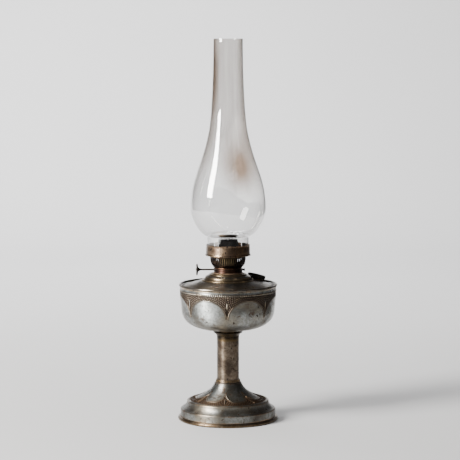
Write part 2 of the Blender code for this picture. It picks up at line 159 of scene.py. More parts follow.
def lathe(name, outline, segments=96, relief=None, turn=None, wear=1.0):
    """A solid turned from a closed outline, or from one that starts and ends on the axis.

    relief(radius, height, angle) gives how far each point stands out along the outline's normal, how dark it is
    made for dirt in hollows and for painted shade, and how high on a ridge it is, for the material. turn places the
    piece; wear is how far edges are rubbed.
    """
    pts = np.array(outline, float)
    closed = not (pts[0, 0] == 0 and pts[-1, 0] == 0)
    bend = turning(outline, closed)
    rows = len(pts)
    step = np.roll(pts, -1, 0) - np.roll(pts, 1, 0)
    if not closed:
        step[0], step[-1] = pts[1] - pts[0], pts[-1] - pts[-2]
    normal = np.stack([-step[:, 1], step[:, 0]], axis=1) / np.maximum(np.linalg.norm(step, axis=1), 1e-9)[:, None]
    angle = np.arange(segments) * math.tau / segments
    radius = np.repeat(pts[:, :1], segments, 1)
    height = np.repeat(pts[:, 1:], segments, 1)
    ridge = np.repeat(wear * np.clip(bend / SHARP, 0, 1)[:, None], segments, 1)
    hollow = np.repeat(np.clip(-bend / SHARP, 0, 1)[:, None], segments, 1)
    if relief:
        out, low, high = relief(radius, height, angle[None, :], normal)
        radius = radius + out * normal[:, :1]
        height = height + out * normal[:, 1:]
        hollow, ridge = np.maximum(hollow, low), np.maximum(ridge, high)
    points = np.stack([radius * np.cos(angle), radius * np.sin(angle), height], axis=2).reshape(-1, 3) * MM
    grid = np.arange(rows * segments).reshape(rows, segments)
    if not closed:
        grid[0, :], grid[-1, :] = grid[0, 0], grid[-1, 0]
    above, below = (grid, np.roll(grid, -1, 0)) if closed else (grid[:-1], grid[1:])
    quads = np.stack([above, below, np.roll(below, -1, 1), np.roll(above, -1, 1)], axis=2).reshape(-1, 4)
    faces = [list(dict.fromkeys(q)) for q in quads.tolist()]
    used = np.unique(quads)
    number = np.full(rows * segments, -1)
    number[used] = np.arange(len(used))
    mesh = bpy.data.meshes.new(name)
    mesh.from_pydata(points[used].tolist(), [], [[int(number[i]) for i in face] for face in faces])
    attribute(mesh, "hollow", hollow.reshape(-1)[used])
    attribute(mesh, "ridge", ridge.reshape(-1)[used])
    smooth(mesh)
    obj = new_object(name, mesh)
    if turn is not None:
        mesh.transform(turn)
    return obj


def sheet_metal(name, rows, columns, is_open, wall):
    """A slotted sheet: rows of points round the axis, faces where is_open is false, thickened inwards."""
    count = len(columns)
    points = [tuple(c * MM for c in point) for row in rows for point in row]
    faces = []
    for i in range(len(rows) - 1):
        for j in range(count):
            if not is_open(i, j):
                k = (j + 1) % count
                faces.append((i * count + j, (i + 1) * count + j, (i + 1) * count + k, i * count + k))
    used = sorted({v for face in faces for v in face})
    number = {v: n for n, v in enumerate(used)}
    mesh = bpy.data.meshes.new(name)
    mesh.from_pydata([points[v] for v in used], [], [[number[v] for v in face] for face in faces])
    obj = new_object(name, mesh)
    solidify = obj.modifiers.new("wall", "SOLIDIFY")
    solidify.thickness = wall * MM
    solidify.offset = -1
    solidify.use_even_offset = True
    return finished(obj)


def finished(obj, angle=38):
    """The object with its modifiers applied and its normals set."""
    bpy.context.view_layer.update()
    graph = bpy.context.evaluated_depsgraph_get()
    mesh = bpy.data.meshes.new_from_object(obj.evaluated_get(graph))
    obj.modifiers.clear()
    obj.data = mesh
    smooth(mesh, angle)
    return obj


def place(obj, look, body, slot, *nodes):
    """Gives a piece its material and its body and hides the CAD nodes it stands for; slot is not used."""
    obj.data.materials.clear()
    obj.data.materials.append(look)
    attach(obj, body)
    if nodes:
        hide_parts(*nodes)
    return obj


# ---------------------------------------------------------------- materials


class Look:
    """A Principled material and short ways to add nodes to it."""

    def __init__(self, name, metallic, roughness):
        self.material = bpy.data.materials.new(name)
        self.material.use_nodes = True
        self.nodes = self.material.node_tree.nodes
        self.links = self.material.node_tree.links
        self.shader = self.nodes["Principled BSDF"]
        self.shader.inputs["Metallic"].default_value = metallic
        self.shader.inputs["Roughness"].default_value = roughness
        self.where = self.nodes.new("ShaderNodeTexCoord").outputs["Object"]

    def node(self, kind, **inputs):
        made = self.nodes.new(kind)
        for key, value in inputs.items():
            self.feed(made.inputs[key.replace("_", " ")], value)
        return made

    def feed(self, socket, value):
        if isinstance(value, bpy.types.NodeSocket):
            self.links.new(value, socket)
        else:
            socket.default_value = value

    def noise(self, scale, detail=4.0, roughness=0.55, distortion=0.0, stretch=(1, 1, 1), shift=(0, 0, 0)):
        mapping = self.nodes.new("ShaderNodeMapping")
        mapping.inputs["Scale"].default_value = stretch
        mapping.inputs["Location"].default_value = shift
        self.links.new(self.where, mapping.inputs["Vector"])
        made = self.node("ShaderNodeTexNoise", Scale=scale, Detail=detail, Roughness=roughness, Distortion=distortion)
        self.links.new(mapping.outputs["Vector"], made.inputs["Vector"])
        return made.outputs["Fac"]

    def range(self, value, low, high, new_low=0.0, new_high=1.0):
        made = self.nodes.new("ShaderNodeMapRange")
        made.interpolation_type = "SMOOTHSTEP"
        for key, number in zip(("From Min", "From Max", "To Min", "To Max"), (low, high, new_low, new_high)):
            made.inputs[key].default_value = number
        self.links.new(value, made.inputs["Value"])
        return made.outputs["Result"]

    def math(self, operation, a, b):
        made = self.nodes.new("ShaderNodeMath")
        made.operation = operation
        self.feed(made.inputs[0], a)
        self.feed(made.inputs[1], b)
        return made.outputs[0]

    def mix(self, share, a, b):
        made = self.nodes.new("ShaderNodeMix")
        made.data_type = "RGBA"
        self.feed(made.inputs["Factor"], share)
        for socket, value in ((made.inputs[COLOUR_A], a), (made.inputs[COLOUR_B], b)):
            self.feed(socket, value if isinstance(value, bpy.types.NodeSocket) else (*value, 1.0))
        return made.outputs[COLOUR_OUT]

    def attribute(self, name):
        made = self.nodes.new("ShaderNodeAttribute")
        made.attribute_name = name
        return made.outputs["Fac"]

    def axis(self, name):
        made = self.nodes.new("ShaderNodeSeparateXYZ")
        self.links.new(self.where, made.inputs[0])
        return made.outputs[name]

    def distance(self, centre, squash):
        """How far the point is from a centre, with heights counted less by a factor."""
        mapping = self.nodes.new("ShaderNodeMapping")
        mapping.inputs["Scale"].default_value = (1, 1, squash)
        apart = self.nodes.new("ShaderNodeVectorMath")
        apart.operation = "DISTANCE"
        self.links.new(self.where, mapping.inputs["Vector"])
        self.links.new(mapping.outputs["Vector"], apart.inputs[0])
        apart.inputs[1].default_value = (centre[0], centre[1], squash * centre[2])
        return apart.outputs["Value"]

    def bump(self, height, strength, distance):
        made = self.node("ShaderNodeBump", Strength=strength, Distance=distance)
        self.links.new(height, made.inputs["Height"])
        self.links.new(made.outputs["Normal"], self.shader.inputs["Normal"])

    def set(self, name, value):
        self.feed(self.shader.inputs[name], value)


def worn_metal(
    name, light, dark, stain, gold, grime,
    roughness=(0.28, 0.42), metallic=0.97, spots=0.68, stains=0.6, soft=0.14,
    shift=0, spun=0.7, grain=1.0, marks=(), bronze=None, painted_highlight=None,
):
    """Old plated metal: two tones in clouds, stains, small dark pits, bright worn edges and dirt in the hollows.

    gold is the tone of worn edges, bronze of thin dirt and grime of thick dirt. Lower spots and stains give more pits
    and stains, and soft is how soft a stain's edge is. shift moves the pattern, a higher grain makes it finer, and
    spun draws the highlights out across the turning lines. marks are placed stains, each (centre, reach, share), and
    the (centre, reach) patch given last is a painted highlight, lighter and with fewer clouds; their lengths are in
    metres.
    """
    look = Look(name, metallic, 0.4)
    move = (shift, 0.7 * shift, -0.4 * shift)
    clouds = look.range(look.noise(42 * grain, 6, 0.6, 0.4, shift=move), 0.36, 0.64)
    warm = look.range(look.noise(19, 5, 0.65, 0.5, shift=(2 + shift, 6, 3)), 0.44, 0.62, 0.0, 0.85)
    light_with_highlight = light
    # painted highlight: a patch made lighter, with fewer clouds and warm tints, where the light's highlight falls
    if painted_highlight:
        centre, reach = painted_highlight
        outside_highlight = look.range(look.distance(centre, 0.6), 0.3 * reach, reach, 0.15, 1.0)
        clouds, warm = look.math("MULTIPLY", clouds, outside_highlight), look.math("MULTIPLY", warm, outside_highlight)
        light_with_highlight = look.mix(outside_highlight, tuple(1.4 * c for c in light), light)
    colour = look.mix(clouds, light_with_highlight, dark)
    colour = look.mix(warm, colour, tuple(c * f for c, f in zip(light, (0.61, 0.52, 0.41))))
    fine = look.noise(420, 3, 0.6, shift=move)
    colour = look.mix(look.range(fine, 0.38, 0.70, 0.0, 0.5), colour, dark)

    blots = look.noise(75 * grain, 5, 0.65, 0.8, shift=(move[0] + 3, 1, 2))
    stained = look.range(blots, stains, stains + soft)
    broken = look.range(look.noise(150, 5, 0.7, 0.6, shift=(1, 8, 2)), 0.42, 0.58)
    for centre, reach, share in marks:
        near = look.range(look.distance(centre, 1.0), 0.0, reach, share, 0.0)
        stained = look.math("MAXIMUM", stained, look.math("MULTIPLY", near, broken))
    colour = look.mix(stained, colour, stain)
    specks = look.noise(210 * grain, 2, 0.5, 0.2, shift=(move[0] + 7, 5, 2))
    pits = look.range(specks, spots, spots + 0.04)
    colour = look.mix(pits, colour, grime)

    finely = look.range(look.noise(160, 3, 0.6), 0.35, 0.6, 0.35, 1.0)
    broadly = look.range(look.noise(33, 3, 0.6), 0.38, 0.58, 0.3, 1.0)
    rubbed = look.math("MULTIPLY", finely, broadly)
    colour = look.mix(look.math("MULTIPLY", look.attribute("ridge"), rubbed), colour, gold)
    hollow = look.attribute("hollow")
    uneven = look.range(look.noise(120, 3, 0.6, shift=(4, 4, 1)), 0.3, 0.6, 0.7, 1.0)
    # the hollow attribute also brings painted shade that some pieces put on, such as the font top's towards its rim
    dirt = look.math("MULTIPLY", hollow, uneven)
    bronzed = look.mix(look.range(dirt, 0.2, 0.6), bronze or tuple(0.32 * c for c in gold), grime)
    colour = look.mix(look.range(dirt, 0.02, 0.25), colour, bronzed)
    look.set("Base Color", colour)

    rough = look.range(look.noise(60, 5, 0.6, shift=(9, 3, 3)), 0.35, 0.65, *roughness)
    rough = look.math("ADD", rough, look.math("MULTIPLY", pits, 0.25))
    rough = look.math("ADD", rough, look.math("MULTIPLY", dirt, 0.2))
    look.set("Roughness", rough)
    tangent = look.nodes.new("ShaderNodeTangent")
    tangent.direction_type, tangent.axis = "RADIAL", "Z"
    look.set("Tangent", tangent.outputs[0])
    look.set("Anisotropic", spun)
    look.set("Anisotropic Rotation", 0.25)
    dull = look.math("MAXIMUM", look.math("MULTIPLY", dirt, 0.75), look.math("MULTIPLY", stained, 0.35))
    matt = look.math("MAXIMUM", pits, dull)
    look.set("Metallic", look.range(matt, 0.0, 1.0, metallic, 0.6 * metallic))
    relief = look.math("SUBTRACT", look.math("MULTIPLY", look.noise(260, 4, 0.6), 0.5), pits)
    look.bump(relief, 0.35, 0.00015)
    return look.material


def plain_metal(name, light, dark, roughness, scale=90, metallic=0.8, stretch=(1, 1, 1), specular=0.5):
    """Dull metal with cloudy tones, brushed along one direction where it is stretched."""
    look = Look(name, metallic, roughness)
    clouds = look.range(look.noise(scale, 5, 0.6, 0.3, stretch), 0.35, 0.65)
    colour = look.mix(clouds, light, dark)
    rubbed = tuple(min(1.0, 2.2 * c) for c in light)
    colour = look.mix(look.math("MULTIPLY", look.attribute("ridge"), 0.4), colour, rubbed)
    look.set("Base Color", colour)
    look.set("Specular IOR Level", specular)
    look.set("Roughness", look.range(look.noise(scale * 3, 4, 0.6), 0.3, 0.7, roughness - 0.08, roughness + 0.12))
    look.bump(look.noise(scale * 5, 3, 0.6, 0.0, stretch), 0.25, 0.0001)
    return look.material


def cotton(name):
    """Woven wick: fine ribs along it and across it, charred towards the top."""
    look = Look(name, 0.0, 0.95)
    warp, weft = look.noise(900, 1, 0.4, 0, (1, 1, 0.25)), look.noise(900, 1, 0.4, 0, (0.4, 0.4, 1))
    weave = look.math("MULTIPLY", warp, weft)
    colour = look.mix(look.range(weave, 0.12, 0.4), (0.40, 0.34, 0.24), (0.74, 0.68, 0.55))
    oiled = look.range(look.noise(40, 4, 0.6), 0.35, 0.7, 0.1, 0.6)
    colour = look.mix(oiled, colour, (0.45, 0.36, 0.20))
    height = look.axis("Z")
    uneven = look.math("MULTIPLY", look.noise(200, 3, 0.6), 0.003)
    char = look.range(look.math("ADD", height, uneven), 0.2215, 0.2265)
    colour = look.mix(char, colour, (0.012, 0.011, 0.010))
    look.set("Base Color", colour)
    look.bump(weave, 0.8, 0.0004)
    return look.material


def cast(name, light, dark, scale, roughness, depth):
    """A plain cast or natural material with two tones and a grain."""
    look = Look(name, 0.0, roughness)
    colour = look.mix(look.range(look.noise(scale, 6, 0.65, 0.5), 0.35, 0.65), light, dark)
    pores = look.range(look.noise(scale * 9, 2, 0.5), 0.6, 0.72)
    colour = look.mix(look.math("MULTIPLY", pores, 0.6), colour, tuple(0.4 * c for c in dark))
    look.set("Base Color", colour)
    look.bump(look.math("SUBTRACT", look.noise(scale * 6, 4, 0.6), pores), 0.6, depth)
    return look.material


def smoked_glass(name):
    """Clear glass, hazed with smoke in the neck and on the flanks, darkest down one side and in a brown patch."""
    look = Look(name, 0.0, 0.03)
    x, z = look.axis("X"), look.axis("Z")
    cloudy = look.range(look.noise(38, 4, 0.6, 0.6, (1, 1, 0.45)), 0.32, 0.6, 0.7, 1.0)
    runs = look.range(look.noise(260, 2, 0.5, 0.0, (1, 1, 0.02)), 0.3, 0.7, 0.75, 1.2)
    facing = look.node("ShaderNodeLayerWeight", Blend=0.5).outputs["Facing"]
    side = look.range(x, -0.0185, -0.0085, 1.0, 0.0)
    high = look.math("MULTIPLY", look.range(z, 0.365, 0.440), look.range(z, 0.452, 0.477, 0.6, 0.25))
    streak = look.math("MULTIPLY", look.math("MULTIPLY", side, high), cloudy)
    haze = look.math("MULTIPLY", look.range(z, 0.300, 0.368, 0.0, 0.27), runs)
    rims = look.math("MULTIPLY", look.range(facing, 0.06, 0.6, 0.0, 0.42), look.range(z, 0.268, 0.325, 0.15, 1.0))
    smoke = look.math("ADD", look.math("ADD", haze, rims), streak)
    colour = look.mix(smoke, (0.99, 0.99, 0.985), (0.40, 0.325, 0.265))
    core = look.range(look.distance((0.0105, -0.0313, 0.3185), 0.58), 0.0, 0.027, 0.72, 0.0)
    around = look.range(look.distance((0.0175, -0.028, 0.329), 0.58), 0.004, 0.036, 0.5, 0.0)
    patch = look.math("MULTIPLY", look.math("ADD", core, around), cloudy)
    colour = look.mix(patch, colour, (0.36, 0.255, 0.185))
    look.set("Base Color", colour)
    look.set("Transmission Weight", 1.0)
    look.set("IOR", 1.55)
    look.set("Coat Weight", 1.0)
    look.set("Coat Roughness", 0.0)
    look.set("Roughness", look.range(patch, 0.1, 1.2, 0.0, 0.03))
    look.bump(look.noise(38, 2, 0.5), 0.2, 0.0006)
    return look.material


PLATING = worn_metal(
    "worn_plating",
    light=(0.355, 0.375, 0.368),
    dark=(0.100, 0.096, 0.087),
    stain=(0.075, 0.045, 0.026),
    gold=(0.60, 0.46, 0.29),
    grime=(0.020, 0.012, 0.008),
    roughness=(0.25, 0.38), soft=0.1, spots=0.67, spun=0.82,
    bronze=(0.085, 0.066, 0.046),
    # painted highlight on the left lobe, where the key light's highlight falls
    painted_highlight=((-0.025, -0.0542, 0.146), 0.024),
    marks=(
        ((0.030, -0.052, 0.142), 0.011, 1.0),
        ((0.027, -0.053, 0.155), 0.013, 0.8),
        ((-0.034, -0.048, 0.133), 0.010, 1.0),
    ),
)
FOOT_METAL = worn_metal(
    "worn_foot_plating",
    light=(0.265, 0.278, 0.268),
    dark=(0.092, 0.086, 0.074),
    stain=(0.065, 0.042, 0.026),
    gold=(0.32, 0.20, 0.11),
    grime=(0.025, 0.015, 0.009),
    roughness=(0.34, 0.5), stains=0.52, soft=0.2, spots=0.65, shift=67,
)
TOP_PLATING = worn_metal(
    "stained_plating",
    light=(0.19, 0.18, 0.168),
    dark=(0.066, 0.060, 0.054),
    stain=(0.06, 0.032, 0.018),
    gold=(0.30, 0.22, 0.125),
    grime=(0.022, 0.013, 0.008),
    stains=0.52, spots=0.65, shift=11,
)
STEM_METAL = worn_metal(
    "worn_stem_brass",
    light=(0.198, 0.157, 0.116),
    dark=(0.060, 0.044, 0.033),
    stain=(0.034, 0.020, 0.014),
    gold=(0.30, 0.20, 0.095),
    grime=(0.015, 0.010, 0.006),
    stains=0.52, spots=0.63, soft=0.2, shift=23, grain=1.5,
)
GALLERY_METAL = worn_metal(
    "mottled_gallery_brass",
    light=(0.31, 0.22, 0.142),
    dark=(0.080, 0.053, 0.036),
    stain=(0.036, 0.018, 0.012),
    gold=(0.40, 0.27, 0.12),
    grime=(0.018, 0.01, 0.007),
    stains=0.49, spots=0.60, shift=31,
)
BASKET_METAL = worn_metal(
    "browned_basket",
    light=(0.035, 0.021, 0.015),
    dark=(0.016, 0.010, 0.008),
    stain=(0.012, 0.007, 0.005),
    gold=(0.25, 0.185, 0.09),
    grime=(0.008, 0.005, 0.004),
    metallic=0.95, stains=0.56, shift=41,
)
COPPER = worn_metal(
    "browned_copper",
    light=(0.037, 0.0165, 0.0135),
    dark=(0.017, 0.0085, 0.007),
    stain=(0.014, 0.007, 0.006),
    gold=(0.13, 0.07, 0.04),
    grime=(0.010, 0.006, 0.005),
    roughness=(0.36, 0.5), metallic=0.95, stains=0.55, shift=53,
)
BLACK = plain_metal("blackened_brass", (0.030, 0.024, 0.020), (0.010, 0.008, 0.007), 0.45)
SOOTED = plain_metal("sooted_tube", (0.009, 0.008, 0.0075), (0.004, 0.0035, 0.0035), 0.7, metallic=0.0, specular=0.08)
STEEL = plain_metal("plain_steel", (0.32, 0.32, 0.32), (0.16, 0.15, 0.13), 0.38, stretch=(1, 1, 0.1))
BRASS = plain_metal("plain_brass", (0.45, 0.33, 0.15), (0.26, 0.18, 0.08), 0.36)
COTTON = cotton("wick_cotton")
LEATHER = cast("washer_leather", (0.14, 0.085, 0.045), (0.06, 0.035, 0.02), 220, 0.75, 0.0002)
PLASTER = cast("ballast_plaster", (0.66, 0.63, 0.56), (0.48, 0.45, 0.39), 60, 0.95, 0.0006)
GLASS = smoked_glass("smoked_glass")


# ---------------------------------------------------------------- embossing


def bell(value, width):
    return np.exp(-((value / width) ** 2))


def step(value, low, high):
    t = np.clip((value - low) / (high - low), 0, 1)
    return t * t * (3 - 2 * t)


def beads(away, along, pitch, radius):
    """Rows of small domes side by side, each row half a pitch along from the last, from 0 to 1."""
    row = np.round(away / pitch)
    apart = away - row * pitch
    place_in_row = along / pitch + 0.5 * row
    beside = (place_in_row - np.round(place_in_row)) * pitch
    return np.sqrt(np.clip(1 - (np.hypot(apart, beside) / radius) ** 2, 0, 1))


def across(angle, centre, radius):
    """How far round from the nearest ornament's middle, as a length at that radius."""
    period = math.tau / LOBES
    offset = (angle - math.radians(centre) + period / 2) % period - period / 2
    return offset * radius


def bowl_relief(radius, height, angle, normal):
    """Arches round the font with a textured, pointed pendant between each two, under a row of pearls."""
    across_radius, springing, arches_top, spear_foot, spear_top = 60.0, 135.5, 163.3, 137.0, 157.6
    pearls, pearl_radius, pearls_per_lobe, border_line, band_top = 164.8, 1.0, 21, 166.2, 166.4
    on = (normal[:, :1] > 0.3) * step(height, 131.0, 133.5) * (height < 168.5)
    half = across_radius * math.pi / LOBES
    u = across(angle, FRONT - 1.0, across_radius)

    rise = 1.15 * (height - springing)  # the arches are a little lower than half circles
    arch = np.hypot(half - np.abs(u), rise) - (half - 1.15)
    above = step(height, springing - 0.8, springing + 0.5)
    inside = step(arch, 0.5, 1.0) * above * step(height, arches_top + 0.5, arches_top)
    line = bell(arch, 0.34) * above
    along = half * np.arctan2(rise, half - np.abs(u))
    net = beads(arch - 2.0, along, 2.5, 0.98) * step(arch, 0.7, 0.9)

    width = 0.45 + 0.85 * step(height, 146.5, 152.0) - 1.1 * step(height, 154.5, spear_top)
    spear = np.clip(1 - (u / np.maximum(width, 0.05)) ** 2, 0, 1)
    spear = spear * step(height, spear_foot, spear_foot + 1.4) * (height < spear_top)
    moat = step(np.abs(u) - width, 0.9, 0.4) * (height < spear_top + 1.0)

    pitch = 2 * half / pearls_per_lobe
    from_pearl = np.hypot(u - (np.floor(u / pitch) + 0.5) * pitch, height - pearls)
    pearl = np.sqrt(np.clip(1 - (from_pearl / pearl_radius) ** 2, 0, 1))
    border = bell(height - border_line, 0.3)
    band = step(height, arches_top, arches_top + 0.4) * step(height, band_top, band_top - 0.4)

    raised = np.maximum(0.75 * net * (1 - moat), 0.95 * spear)
    out = 0.28 * line + inside * (raised - 0.5) + 0.5 * pearl + 0.26 * border
    low = np.maximum(inside * np.clip(1.1 - 1.35 * raised, 0, 1), band * np.clip(0.85 - 1.5 * pearl - border, 0, 1))
    low = np.maximum(low, 0.8 * bell(arch - 0.75, 0.3) * above)
    low = np.maximum(low, 0.6 * bell(arch + 0.7, 0.35) * above)
    high = np.maximum.reduce([0.45 * line, inside * 1.1 * net**2, 0.6 * spear, 0.6 * pearl])
    # the bowl is made darker towards its bottom; this goes out with the hollows
    underside = 0.17 * step(height, 135.0, 120.0)
    return out * on, np.maximum(low * on, underside), high * on


def foot_relief(radius, height, angle, normal):
    """Smooth lobes running down the foot's flare, with textured points between them."""
    lobe_reach, lobe_power, lobe_share = 15.0, 1.6, math.radians(17.5)
    spear_inner, spear_length, rim_radius = 31.0, 15.5, 48.9
    on = (normal[:, 1:] > 0.1) * step(radius, 22.5, 24.0) * step(radius, 50.2, 49.6) * (height > 24.4)
    turn = across(angle, FRONT - 5.5, 1.0)

    share = np.clip(np.abs(turn) / lobe_share, 0, 1)
    edge = 25.5 + lobe_reach * (1 - (1 - share) ** lobe_power)
    slope = lobe_reach * lobe_power * (1 - share) ** (lobe_power - 1) / lobe_share / radius
    apart = (radius - edge) / np.sqrt(1 + slope**2)
    field = step(apart, 0.7, 1.2) * step(radius, 48.5, 48.0)
    line = bell(apart, 0.5) * step(radius, 48.8, 48.2)
    net = beads(apart - 1.9, turn * 40.0, 2.3, 0.95)

    u = turn * radius
    leaf = 1.5 * np.sin(np.pi * np.clip((radius - spear_inner) / spear_length, 0, 1)) ** 0.7 + 0.01
    on_leaf = (radius > spear_inner) * (radius < spear_inner + spear_length)
    spear = np.clip(1 - (u / leaf) ** 2, 0, 1) * on_leaf
    moat = step(np.abs(u) - leaf, 0.8, 0.3) * (radius > 29.5)
    rim = bell(radius - rim_radius, 0.4)

    raised = np.maximum(0.6 * net * (1 - moat), 0.85 * spear)
    out = 0.25 * line + field * (raised - 0.45) + 0.15 * rim
    low = np.maximum(field * np.clip(0.7 - 0.7 * raised, 0, 1), 0.5 * bell(apart + 0.9, 0.35))
    high = np.maximum(np.maximum(0.2 * line, 0.15 * rim), field * 0.6 * net**2)
    return out * on, low * on, high * on


def thread_relief(mean, wave, pitch, top, bottom, female):
    """A rolled thread on the stretch at that radius; it runs out at both ends."""
    def relief(radius, height, angle, normal):
        on = (np.abs(radius - mean) < 0.02) & (height < top + 0.01) & (height > bottom - 0.01)
        share = np.clip(np.minimum(top - height, height - bottom) / (0.3 * pitch), 0, 1)
        side = 1.0 if female else -1.0
        out = wave * (share * np.cos(math.tau * height / pitch - angle) + (1 - share) * side)
        return out * on * (-side), np.zeros_like(out), np.zeros_like(out)
    return relief


def dirt_and_shade(share):
    """A relief without height that says how far the metal is darkened at each radius and height, by dirt and by
    painted shade.
    """
    def relief(radius, height, angle, normal):
        low = share(radius, height) * np.ones_like(angle)
        return np.zeros_like(low), low, np.zeros_like(low)
    return relief


def ribs(count, depth, inner):
    """Fine ribs round an edge, cut into everything beyond a radius."""
    def relief(radius, height, angle, normal):
        on = (radius > inner) & (np.abs(normal[:, :1]) > 0.6)
        groove = 0.5 - 0.5 * np.cos(count * angle)
        return -depth * groove * on, 0.6 * groove * on, 0.5 * (1 - groove) * on
    return relief


# ---------------------------------------------------------------- foot and stem


def foot():
    flare = bezier((17.0, 46.8), (20.5, 37.0), (30.0, 30.6), (50.4, 24.7), 84)
    cove = bezier((52.0, 23.3), (52.4, 18.6), (55.2, 15.4), (59.2, 14.5), 16)
    outside = [(4.2, 47.6), (15.8, 47.6), *flare, (51.6, 24.2), *cove, *spaced([(60.2, 13.4), (60.2, 4.9)], 0.7)]
    outline = thinned(shell(rounded(outside, 0.5, closed=False), SHEET), 3)
    shape = lathe("foot_embossed", outline, 70 * LOBES, foot_relief)
    place(shape, FOOT_METAL, "lamp", "nickelled_steel", "foot_shell")
    bead = arc((61.6, 1.95), 1.95, 62, -80, 14)
    ring = [(57.5, 4.5), (61.3, 4.5), (62.0, 4.1), (62.1, 3.75), *bead, (61.6, 0.0), (58.6, 0.0), (57.5, 1.0)]
    obj = lathe("foot_bead", rounded(ring, 0.25), 160, dirt_and_shade(lambda radius, height: 0.1), wear=0.5)
    place(obj, STEM_METAL, "lamp", "worn_brass", "foot_ring")
    cover = rounded([(12.0, 1.9), (57.2, 1.9), (57.2, 1.0), (12.0, 1.0)], 0.2)
    place(lathe("foot_bottom_plate", cover, 128), TOP_PLATING, "lamp", "nickelled_steel", "foot_cover")


def stem():
    tube = rounded(spaced([(13.3, 106.3), (14.1, 106.3), (14.1, 47.9)], 1.5) + [(13.3, 47.9)], 0.15)
    # the pipe is made darker towards its top, just under the cup
    darker_top = dirt_and_shade(lambda radius, height: 0.55 * step(height, 98.0, 105.5))
    place(lathe("stem_pipe", tube, 96, darker_top), STEM_METAL, "lamp", "worn_brass", "stem_tube")
    beads = [*arc((14.75, 50.25), 0.75, 90, -70, 8), *arc((14.95, 48.8), 0.9, 70, -90, 8)]
    place(lathe("stem_beads", [(14.4, 51.0), *beads, (14.4, 47.9)], 96), STEM_METAL, "lamp", "worn_brass", "stem_ring")
    outside = [(17.9, 112.0), (18.7, 111.6), (18.4, 110.9), (16.0, 109.4), (14.7, 107.9), (14.1, 106.6)]
    cup = rounded([*outside, (4.0, 106.6), (4.0, 107.4), (13.6, 107.4), (13.9, 108.3), (15.4, 109.9)], 0.5)
    obj = lathe("stem_top_cup", cup, 96, dirt_and_shade(lambda radius, height: 0.5))
    place(obj, STEM_METAL, "lamp", "worn_brass", "stem_cup")


# ---------------------------------------------------------------- font


def top_dirt_and_rim_shade(radius, height):
    """Dirt in the rings pressed into the font's top, and painted shade darkening the top towards its rolled rim, which
    shades it.
    """
    # painted shade: the top is darkened towards the rolled rim, as the rim shades it
    painted_rim_shade = 0.12 * step(radius, 40.0, 50.0) + 0.75 * step(radius, 53.0, 57.5)
    rings = 0.55 * bell(radius - 24.0, 0.45) + 0.5 * bell(radius - 30.2, 0.8) + 0.4 * bell(radius - 33.4, 0.5)
    return painted_rim_shade + (rings + 0.03)


def font():
    boss = [(0, 114.5), (15.4, 114.5), (15.4, 112.7), (13.0, 112.3), (13.0, 107.8)]
    boss += [(3.35, 107.8), (3.35, 113.6), (0, 113.6)]
    place(lathe("font_socket", rounded(boss, 0.3), 80), STEM_METAL, "lamp", "worn_brass", "font_boss")
    side = spaced([(60.8, 169.5), (60.7, 164.0), (60.5, 158.0), (59.7, 147.5), (58.95, 139.6)], 0.42)
    turn_in = bezier((58.9, 139.2), (57.6, 124.0), (44.0, 117.6), (27.0, 115.5), 60)
    outline = thinned(shell([*side, *turn_in, (20.0, 115.0), (14.0, 114.8), (0, 114.8)], SHEET), 5)
    bowl = lathe("font_embossed_bowl", outline, 114 * LOBES, bowl_relief)
    place(bowl, PLATING, "lamp", "nickelled_steel", "font_bowl")
    rim = arc((60.6, 171.4), 1.55, 100, -260, 24)[:-1]
    place(lathe("font_rolled_rim", rim, 160, wear=0.35), TOP_PLATING, "lamp", "nickelled_steel", "font_rim")

    crown = [(18.9, 185.6), (23.0, 185.6), (23.6, 185.2), (23.7, 184.4)]
    dome = bezier((24.2, 184.1), (26.0, 183.6), (27.8, 182.8), (29.0, 181.6), 10) + [(29.2, 180.7), (30.6, 178.7)]
    bead = arc((32.0, 177.7), 0.95, 150, 30, 8)
    skirt = [(33.2, 177.5), (59.3, 169.9), (59.3, 166.9)]
    outside = rounded([*crown, *dome, *bead, *skirt], 0.35, closed=False)
    plate = lathe("font_top_plate", shell(spaced(outside, 1.5), SHEET), 144, dirt_and_shade(top_dirt_and_rim_shade))
    place(plate, TOP_PLATING, "lamp", "nickelled_steel", "font_top")

    mean, top, bottom = 17.25, 186.2, 180.4
    thread = spaced([(mean, bottom), (mean, top)], 0.2)
    outside = [(17.55, 186.4), (20.4, 186.4), (20.8, 186.0), (20.6, 185.9)]
    outside += [(18.6, 185.9), (18.6, 179.9), (17.55, 179.9)]
    relief = thread_relief(mean, BURNER_WAVE, BURNER_PITCH, top, bottom, True)
    obj = lathe("burner_screw_ring", [*outside, *thread], 96, relief)
    place(obj, STEM_METAL, "lamp", "worn_brass", "burner_collar")


